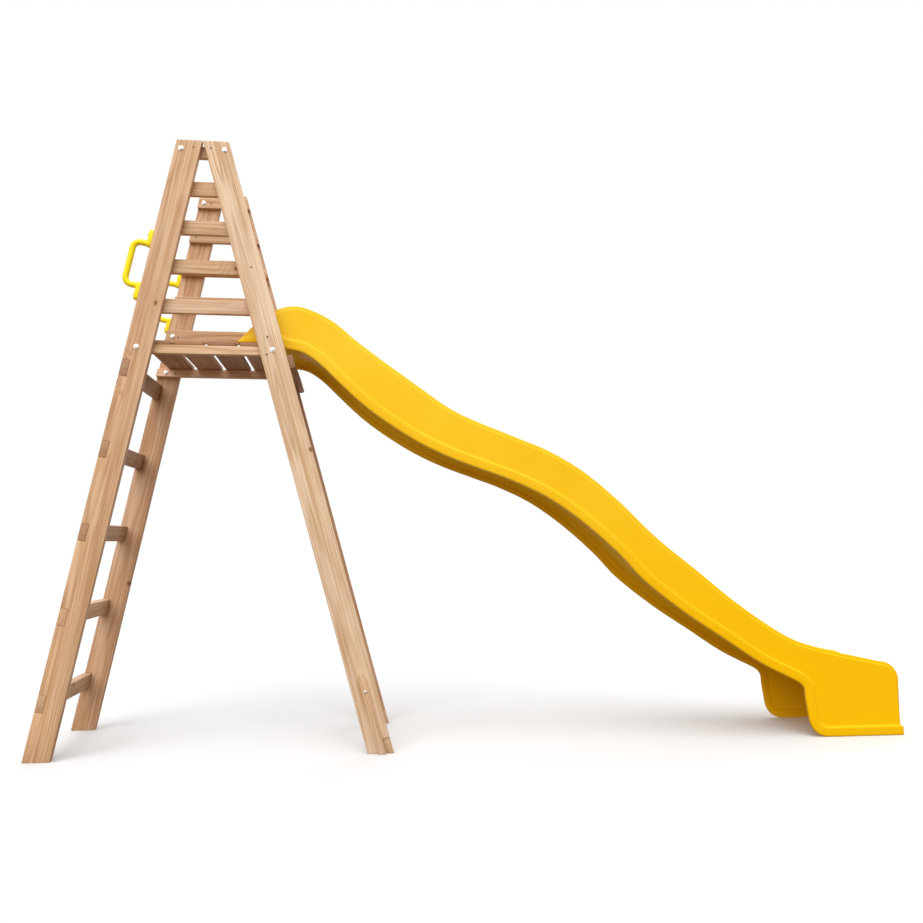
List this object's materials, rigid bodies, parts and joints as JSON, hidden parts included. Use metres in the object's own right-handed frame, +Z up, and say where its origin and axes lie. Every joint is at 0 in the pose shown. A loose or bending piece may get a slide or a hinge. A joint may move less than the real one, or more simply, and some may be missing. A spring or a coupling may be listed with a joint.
{
  "type": "garden slide",
  "caption": "Timber A-frame climbing tower with ladder, guard rails and slatted deck, and a one-piece plastic wave slide.",
  "frame": {"origin": "centre of the overall footprint, at ground level", "axes": "+X runs from the ladder to the end of the chute, +Y across the tower to its far side, +Z up"},
  "size_m": [3.2554, 0.5964, 2.224],
  "materials": {
    "timber": "planed oiled softwood with visible grain and knots",
    "timber_dark": "planed oiled softwood, slightly darker boards",
    "chute_plastic": "moulded polyethylene, satin with fine texture",
    "handle_plastic": "moulded plastic, smooth satin",
    "zinc": "bright zinc plated steel"
  },
  "bodies": {
    "root": {"bolt_deck_ladder_far": "zinc", "bolt_deck_ladder_near": "zinc", "bolt_deck_slide_far": "zinc", "bolt_deck_slide_near": "zinc", "bolt_rung_ladder_far": "zinc", "bolt_rung_slide_far": "zinc", "bolt_stake_far": "zinc", "bolt_stake_near": "zinc", "bolt_top_ladder_far": "zinc", "bolt_top_ladder_near": "zinc", "bolt_top_slide_far": "zinc", "bolt_top_slide_near": "zinc", "chute_batten": "timber_dark", "deck_rail_far": "timber", "deck_rail_near": "timber", "deck_slat_1": "timber_dark", "deck_slat_2": "timber_dark", "deck_slat_3": "timber_dark", "deck_slat_4": "timber_dark", "grab_handle_far": "handle_plastic", "grab_handle_near": "handle_plastic", "ground_stake_far": "timber", "ground_stake_near": "timber", "guard_rung_1_far": "timber", "guard_rung_1_near": "timber", "guard_rung_2_far": "timber", "guard_rung_2_near": "timber", "guard_rung_3_far": "timber", "guard_rung_3_near": "timber", "guard_rung_4_far": "timber", "guard_rung_4_near": "timber", "handle_screw_lower_far": "zinc", "handle_screw_lower_near": "zinc", "handle_screw_upper_far": "zinc", "handle_screw_upper_near": "zinc", "leg_ladder_far": "timber", "leg_ladder_near": "timber", "leg_slide_far": "timber", "leg_slide_near": "timber", "stake_heel_far": "timber_dark", "stake_heel_near": "timber_dark", "top_plate_far": "timber", "top_plate_near": "timber", "tread_1": "timber_dark", "tread_2": "timber_dark", "tread_3": "timber_dark", "tread_4": "timber_dark", "tread_5": "timber_dark", "wave_chute": "chute_plastic"}
  },
  "joints": []
}
